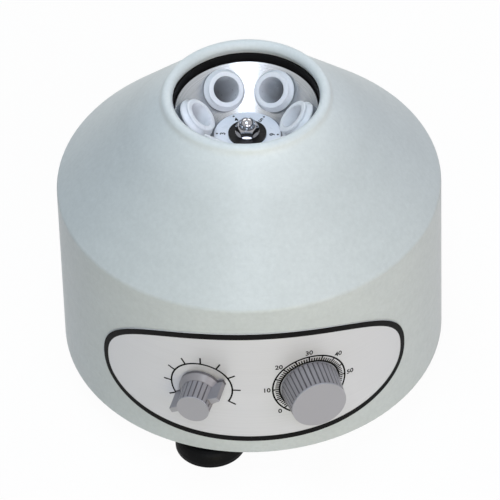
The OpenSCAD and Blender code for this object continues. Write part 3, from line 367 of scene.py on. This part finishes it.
# Each finish, and the nodes that have it
FINISHES = [
    (paint_material(), ["casing_shell"]),
    (brushed("panel_aluminium", (209, 210, 213), 0.42, (0.05, 0.05, 14), metal=0.35, vary=4, bump=0.08),
     ["control_panel"]),
    (dish_material(), ["rotor_dish"]),
    (spun("turned_aluminium", (200, 203, 208), 0.25), ["rotor_hub", "heat_sink"]),
    (cast_material(), ["motor_lower_bell", "motor_upper_bell"]),
    (plain("zinc_steel", (168, 171, 174), 0.32, metal=1.0, grain=700.0, vary=10, bump=0.12),
     ["base_ring", "base_plate", "motor_deck", "base_screws", "foot_screws", "lock_nuts",
      "damper_bolts", "motor_tie_bolts", "panel_nuts", "board_screws", "brush_springs"]),
    (spun("washer_steel", (190, 192, 196), 0.18), ["steel_washer"]),
    (brushed("shaft_steel", (182, 184, 188), 0.22, (1, 1, 12), vary=6, bump=0.08),
     ["motor_shaft", "speed_shaft", "timer_shaft"]),
    (spun("bearing_steel", (176, 178, 184), 0.16), ["lower_bearing", "upper_bearing"]),
    (plain("black_steel", (38, 38, 40), 0.4, metal=0.9, grain=600.0, vary=4), ["hub_screws"]),
    (plain("chrome_plate", (158, 158, 163), 0.07, metal=1.0, grain=400.0, vary=3, bump=0.01),
     ["acorn_nut"]),
    (plain("black_rubber", (13, 12, 13), 0.6, vary=3, bump=0.12, depth=0.0001, Specular_IOR_Level=0.15),
     ["mouth_gasket", "motor_dampers", "cord_gland"]),
    (plain("foot_rubber", (6, 7, 9), 0.55, grain=800.0, vary=2, bump=0.12, depth=0.0001,
           Specular_IOR_Level=0.1),
     ["suction_feet"]),
    (plain("glossy_rubber", (8, 8, 10), 0.3, grain=500.0, vary=2, bump=0.02, Specular_IOR_Level=0.2),
     ["rubber_washer"]),
    (plain("disc_plastic", (234, 237, 243), 0.3, grain=500.0, vary=3, bump=0.04), ["number_disc"]),
    (milky_material(), [f"tube_{place}" for place in range(1, 7)]),
    (knob_material("speed_knob_plastic", "speed_knob", SPEED_TURN, SPEED_Z, SPEED_FACE_R, SPEED_FALL,
                   has_pointer=True),
     ["speed_knob"]),
    (knob_material("timer_knob_plastic", "timer_knob", TIMER_TURN, TIMER_Z, TIMER_FACE_R, TIMER_FALL,
                   has_pointer=False),
     ["timer_knob"]),
    (plain("black_plastic", (20, 20, 22), 0.42, vary=4, bump=0.15, depth=0.0001, Specular_IOR_Level=0.3),
     ["fuse_holder", "fuse_cap", "brush_caps", "cooling_fan", "power_switch_chip", "speed_control"]),
    (plain("cream_plastic", (216, 212, 198), 0.45, grain=700.0, vary=5), ["timer_body", "board_posts"]),
    (plain("green_laminate", (32, 92, 52), 0.35, grain=500.0, vary=9), ["circuit_board"]),
    (plain("green_plastic", (44, 120, 70), 0.4, grain=700.0), ["terminal_block"]),
    (plain("blue_sleeve", (48, 60, 132), 0.28, grain=400.0), ["board_capacitors"]),
    (plain("motor_paint", (52, 54, 60), 0.38, grain=700.0, vary=5, bump=0.2, depth=0.0002),
     ["motor_housing"]),
    (laminated_material(), ["stator_core", "armature_core"]),
    (copper_material(), ["field_coils", "armature_windings", "suppression_choke"]),
    (brushed("copper_bars", (184, 112, 70), 0.28, (6, 6, 0.2)), ["commutator"]),
    (plain("brass", (196, 164, 88), 0.28, metal=1.0, grain=600.0, vary=10), ["brush_holders"]),
    (plain("carbon", (34, 34, 36), 0.6, metal=0.2, grain=1200.0, vary=5, bump=0.3), ["carbon_brushes"]),
]
INK = plain("ink", (9, 9, 10), 0.6, vary=3, bump=0.04, Specular_IOR_Level=0.1)


def dress(obj, finish):
    obj.data.materials.clear()
    obj.data.materials.append(finish.mat)


for finish, users in FINISHES:
    for user in users:
        dress(nodes[user], finish)

# Printed pieces: sizes in metres and turns in degrees, from the middle of the dial or the disc
PANEL_LIFT = 0.00006  # height of the ink's face over the label plate
DISC_LIFT = 0.00005  # height of the ink's face over the number disc
INK_DEPTH = 0.00004
FIGURE_SWELL = 0.025  # how much fatter the figures are drawn, for each unit of their size
OUTLINE_STEPS = 420

BORDER_OUTER_INSET = 0.0002
BORDER_SIDE_INSET = 0.0044
BORDER_TOP_INSET = 0.0051
BORDER_BOTTOM_INSET = 0.0046

LINE_W = 0.0011
FINE_LINE_W = 0.00095

SPEED_ARC = (0.0203, 0.02145)  # inner and outer radius
SPEED_LINE = (0.0213, 0.0264)  # where each line starts and ends
SPEED_FIRST, SPEED_LAST, SPEED_STEP = 210, -30, 30
SPEED_OVERRUN = 1  # how far the arc runs past its last line

TIMER_RINGS = [(0.0245, 0.0257), (0.0199, 0.0212)]
TIMER_LINE_FROM = 0.0211
TIMER_LINE_TO = 0.0235
TIMER_FIFTH_TO = 0.0246  # where each fifth minute's line ends
TIMER_ZERO = 225  # turn of the line for no time
TIMER_SWEEP = 270  # turn from there to the last minute
TIMER_MINUTES = 60
FIGURE_STEP = 10  # minutes from one figure to the next
FIGURE_REACH = (0.0291, 0.0286)  # how far out the figures are, sideways and up
FIGURE_SIZE = 0.0052

DISC_FIGURES = "654321"
DISC_FIGURE_R = 0.0164
DISC_FIGURE_SIZE = 0.0050
DISC_DOT_R = 0.0204  # where the dots' middles lie
DOT_SIZE = 0.0007  # radius of a dot


def wall_r(z):
    """Radius of the casing's wall at a height."""
    return WALL_R + FLARE - FLARE * (z - CASING_Z) / WALL_H


def on_panel(s, z):
    """A point over the label plate: s is the way round the wall from the front, to the right."""
    r = wall_r(z) + PLATE_FACE + PANEL_LIFT
    a = s / WALL_R
    return Vector((r * math.sin(a), -r * math.cos(a), z))


def on_disc(x, y):
    return Vector((x, y, DISC_TOP + DISC_LIFT))


class Print:
    """Ink laid as one thin skin. Shapes are given flat, and place() puts each point on its surface."""

    def __init__(self, place):
        self.place = place
        self.bm = bmesh.new()

    def vert(self, x, y):
        return self.bm.verts.new(self.place(x, y))

    def face(self, points):
        self.bm.faces.new([self.vert(x, y) for x, y in points])

    def band(self, outer, inner, closed=True):
        """A strip between two rows of points."""
        rows = [(self.vert(*a), self.vert(*b)) for a, b in zip(outer, inner)]
        for i in range(len(rows) if closed else len(rows) - 1):
            j = (i + 1) % len(rows)
            self.bm.faces.new([rows[i][0], rows[j][0], rows[j][1], rows[i][1]])

    def arc(self, x, y, r0, r1, a0, a1, closed=False):
        """A strip from radius r0 to r1 and from angle a0 to a1, with a step about every 3 degrees."""
        steps = max(8, int(abs(a1 - a0) / 3))
        turns = [math.radians(a0 + (a1 - a0) * i / steps) for i in range(steps + (0 if closed else 1))]
        self.band([(x + r1 * math.cos(t), y + r1 * math.sin(t)) for t in turns],
                  [(x + r0 * math.cos(t), y + r0 * math.sin(t)) for t in turns], closed)

    def line(self, x, y, r0, r1, turn, width):
        """A straight line outwards from radius r0 to r1."""
        t = math.radians(turn)
        c, s = math.cos(t), math.sin(t)
        h = width / 2
        self.face([(x + r0 * c + h * s, y + r0 * s - h * c), (x + r1 * c + h * s, y + r1 * s - h * c),
                   (x + r1 * c - h * s, y + r1 * s + h * c), (x + r0 * c - h * s, y + r0 * s + h * c)])

    def dot(self, x, y, r, sides=16):
        turns = [math.tau * i / sides for i in range(sides)]
        self.face([(x + r * math.cos(t), y + r * math.sin(t)) for t in turns])

    def figure(self, text, x, y, size, turn=0.0):
        """A number centred on a point, turned by so many degrees."""
        data = bpy.data.curves.new("lettering", "FONT")
        data.body = text
        data.size = size
        data.align_x = "CENTER"
        data.align_y = "CENTER"
        data.resolution_u = 4
        data.offset = size * FIGURE_SWELL
        obj = bpy.data.objects.new("lettering", data)
        scene.collection.objects.link(obj)
        bpy.context.view_layer.update()
        mesh = obj.evaluated_get(bpy.context.evaluated_depsgraph_get()).to_mesh()
        t = math.radians(turn)
        c, s = math.cos(t), math.sin(t)
        made = [self.vert(x + c * v.co.x - s * v.co.y, y + s * v.co.x + c * v.co.y) for v in mesh.vertices]
        for f in mesh.polygons:
            self.bm.faces.new([made[i] for i in f.vertices])
        bpy.data.objects.remove(obj)
        bpy.data.curves.remove(data)

    def finish(self, name, body, slot):
        mesh = bpy.data.meshes.new(name)
        self.bm.normal_update()
        self.bm.to_mesh(mesh)
        self.bm.free()
        obj = bpy.data.objects.new(name, mesh)
        scene.collection.objects.link(obj)
        dress(obj, INK)
        thick = obj.modifiers.new("ink", "SOLIDIFY")
        thick.thickness = INK_DEPTH
        thick.offset = -1
        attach(obj, body)


def panel_outline(inset_side, inset_up, inset_down):
    """The label plate's edge, drawn in by the insets."""
    out = []
    for i in range(OUTLINE_STEPS):
        a = math.tau * i / OUTLINE_STEPS
        upper = math.sin(a) >= 0
        power = ROUND_UP if upper else ROUND_DOWN
        half = PLATE_HALF - inset_side
        height = PLATE_UP - inset_up if upper else PLATE_DOWN - inset_down
        c, s = math.cos(a), math.sin(a)
        out.append((half * math.copysign(abs(c) ** (2 / power), c),
                    PLATE_MID + height * math.copysign(abs(s) ** (2 / power), s)))
    return out


def panel_border():
    border = Print(on_panel)
    border.band(panel_outline(BORDER_OUTER_INSET, BORDER_OUTER_INSET, BORDER_OUTER_INSET),
                panel_outline(BORDER_SIDE_INSET, BORDER_TOP_INSET, BORDER_BOTTOM_INSET))
    border.finish("panel_border", "stand", "panel_aluminium")


def speed_dial():
    """An arc with a line every 30 degrees."""
    speed = Print(on_panel)
    x, z = WALL_R * SPEED_TURN, SPEED_Z
    speed.arc(x, z, *SPEED_ARC, SPEED_FIRST, SPEED_LAST - SPEED_OVERRUN)
    for turn in range(SPEED_FIRST, SPEED_LAST - 1, -SPEED_STEP):
        speed.line(x, z, *SPEED_LINE, turn, LINE_W)
    speed.finish("speed_dial_print", "stand", "panel_aluminium")


def timer_dial():
    """Two rings with a line for each minute between them, and a figure for every ten."""
    timer = Print(on_panel)
    x, z = WALL_R * TIMER_TURN, TIMER_Z
    for ring in TIMER_RINGS:
        timer.arc(x, z, *ring, 0, 360, True)
    for minute in range(TIMER_MINUTES + 1):
        turn = TIMER_ZERO - TIMER_SWEEP * minute / TIMER_MINUTES
        if minute % 5 == 0:
            timer.line(x, z, TIMER_LINE_FROM, TIMER_FIFTH_TO, turn, LINE_W)
        else:
            timer.line(x, z, TIMER_LINE_FROM, TIMER_LINE_TO, turn, FINE_LINE_W)
    for minute in range(0, TIMER_MINUTES + 1, FIGURE_STEP):
        t = math.radians(TIMER_ZERO - TIMER_SWEEP * minute / TIMER_MINUTES)
        timer.figure(str(minute), x + FIGURE_REACH[0] * math.cos(t), z + FIGURE_REACH[1] * math.sin(t),
                     FIGURE_SIZE)
    timer.finish("timer_dial_print", "stand", "panel_aluminium")


def disc_numbers():
    """A figure and a dot for each tube, with the figures' feet towards the middle."""
    digits = Print(on_disc)
    for i, label in enumerate(DISC_FIGURES):
        t = ROTOR_TURN + math.tau * i / len(DISC_FIGURES)
        c, s = math.cos(t), math.sin(t)
        digits.figure(label, DISC_FIGURE_R * c, DISC_FIGURE_R * s, DISC_FIGURE_SIZE, math.degrees(t) - 90)
        digits.dot(DISC_DOT_R * c, DISC_DOT_R * s, DOT_SIZE)
    digits.finish("disc_numbers_print", "rotor", "disc_plastic")


panel_border()
speed_dial()
timer_dial()
disc_numbers()

# Camera, stage and light: the photograph's camera is fitted to the casing's outlines
CAMERA_RISE = 43.03
CAMERA_ROLL = -1.87
CAMERA_DISTANCE = 2.90234
CAMERA_AIM = Vector((-0.00078, 0, 0.08372))
FOCAL_PIXELS = 4228.16  # focal length, in pixels of the photograph
FRAME_PIXELS = 500  # width of the photograph
SENSOR_MM = 36

LAMP_DISTANCE = 1.9
LAMP_AIM = Vector((0, 0, 0.12))
# Name, azimuth in degrees from the front to the right, elevation, size, and watts of red, green and blue
LAMPS = [
    ("top_light", -40, 82, 0.9, (11.4, 13.6, 15.8)),
    ("camera_side_light", 0, 46, 0.6, (8.4, 8.8, 9.8)),
    ("front_right_light", 38, 30, 0.9, (7.6, 7.1, 8.0)),
    ("low_front_light", 12, 8, 0.9, (7.6, 6.5, 2.8)),
    ("back_left_light", -155, 35, 0.9, (6.0, 5.8, 5.4)),
    ("back_right_light", 155, 35, 0.9, (6.0, 5.8, 5.5)),
]

WHITE = (1, 1, 1, 1)
FILL_COLOUR = (0.93, 0.97, 1.0, 1)
FILL_STRENGTH = 0.05
FLOOR_COLOUR = (0.9, 0.9, 0.9, 1)
FLOOR_HALF = 6
FLOOR_DROP = 0.0002  # how far the floor lies below the feet, so that the two faces don't flicker
FLOOR_WHITE_SHARE = 0.96  # how much of the floor is shown white, with the shadow in the rest


def camera():
    rise, roll = math.radians(CAMERA_RISE), math.radians(CAMERA_ROLL)
    back = Vector((0, -math.cos(rise), math.sin(rise)))
    right = Vector((1, 0, 0))
    up = right.cross(-back)
    c, s = math.cos(roll), math.sin(roll)
    across, above = c * right + s * up, -s * right + c * up
    data = bpy.data.cameras.new("camera")
    data.sensor_width = SENSOR_MM
    data.lens = FOCAL_PIXELS / FRAME_PIXELS * SENSOR_MM
    data.clip_start, data.clip_end = 0.1, 20
    obj = bpy.data.objects.new("camera", data)
    place = CAMERA_AIM + CAMERA_DISTANCE * back
    obj.matrix_world = Matrix((
        (across.x, above.x, back.x, place.x),
        (across.y, above.y, back.y, place.y),
        (across.z, above.z, back.z, place.z),
        (0, 0, 0, 1)))
    scene.collection.objects.link(obj)
    scene.camera = obj


def lamp(name, azimuth, elevation, size, watts):
    """A round soft lamp aimed at the object."""
    data = bpy.data.lights.new(name, "AREA")
    data.shape = "DISK"
    data.size = size
    data.energy = max(watts)
    data.color = [w / max(watts) for w in watts]
    a, e = math.radians(azimuth), math.radians(elevation)
    toward = Vector((math.cos(e) * math.sin(a), -math.cos(e) * math.cos(a), math.sin(e)))
    obj = bpy.data.objects.new(name, data)
    obj.location = LAMP_AIM + LAMP_DISTANCE * toward
    obj.rotation_mode = "QUATERNION"
    obj.rotation_quaternion = toward.to_track_quat("Z", "Y")
    scene.collection.objects.link(obj)


def seen_white(tree):
    """1 for camera, glossy and transmission rays, which see the stage, and 0 for those that light."""
    path = tree.nodes.new("ShaderNodeLightPath")
    total = path.outputs["Is Camera Ray"]
    for key in ("Is Glossy Ray", "Is Transmission Ray"):
        most = tree.nodes.new("ShaderNodeMath")
        most.operation = "MAXIMUM"
        tree.links.new(total, most.inputs[0])
        tree.links.new(path.outputs[key], most.inputs[1])
        total = most.outputs[0]
    return total


def mix_into(out, tree, share, lit, white):
    """Mixes the shader that lights with the white that is seen, into an output node."""
    mix = tree.nodes.new("ShaderNodeMixShader")
    for source, socket in zip((share, lit.outputs[0], white.outputs[0]), mix.inputs):
        tree.links.new(source, socket)
    tree.links.new(mix.outputs[0], out.inputs[0])


def studio():
    """A white surround that lights the object only faintly."""
    world = bpy.data.worlds.new("studio")
    scene.world = world
    world.use_nodes = True
    tree = world.node_tree
    tree.nodes.clear()
    fill = tree.nodes.new("ShaderNodeBackground")
    fill.inputs["Color"].default_value = FILL_COLOUR
    fill.inputs["Strength"].default_value = FILL_STRENGTH
    white = tree.nodes.new("ShaderNodeBackground")
    white.inputs["Color"].default_value = WHITE
    white.inputs["Strength"].default_value = 1.0
    mix_into(tree.nodes.new("ShaderNodeOutputWorld"), tree, seen_white(tree), fill, white)


def floor():
    """A pale floor that keeps a little of the object's shadow."""
    mesh = bpy.data.meshes.new("floor")
    bm = bmesh.new()
    bmesh.ops.create_grid(bm, x_segments=4, y_segments=4, size=FLOOR_HALF)
    bm.to_mesh(mesh)
    bm.free()
    obj = bpy.data.objects.new("floor", mesh)
    obj.location.z = -FLOOR_DROP
    scene.collection.objects.link(obj)
    mat = bpy.data.materials.new("floor_white")
    mat.use_nodes = True
    tree = mat.node_tree
    matt = tree.nodes["Principled BSDF"]
    matt.inputs["Base Color"].default_value = FLOOR_COLOUR
    matt.inputs["Roughness"].default_value = 0.9
    matt.inputs["Specular IOR Level"].default_value = 0.0
    glow = tree.nodes.new("ShaderNodeEmission")
    glow.inputs["Color"].default_value = WHITE
    share = tree.nodes.new("ShaderNodeMath")
    share.operation = "MULTIPLY"
    tree.links.new(seen_white(tree), share.inputs[0])
    share.inputs[1].default_value = FLOOR_WHITE_SHARE
    mix_into(tree.nodes["Material Output"], tree, share.outputs[0], matt, glow)
    mesh.materials.append(mat)


camera()
studio()
floor()
for settings in LAMPS:
    lamp(*settings)
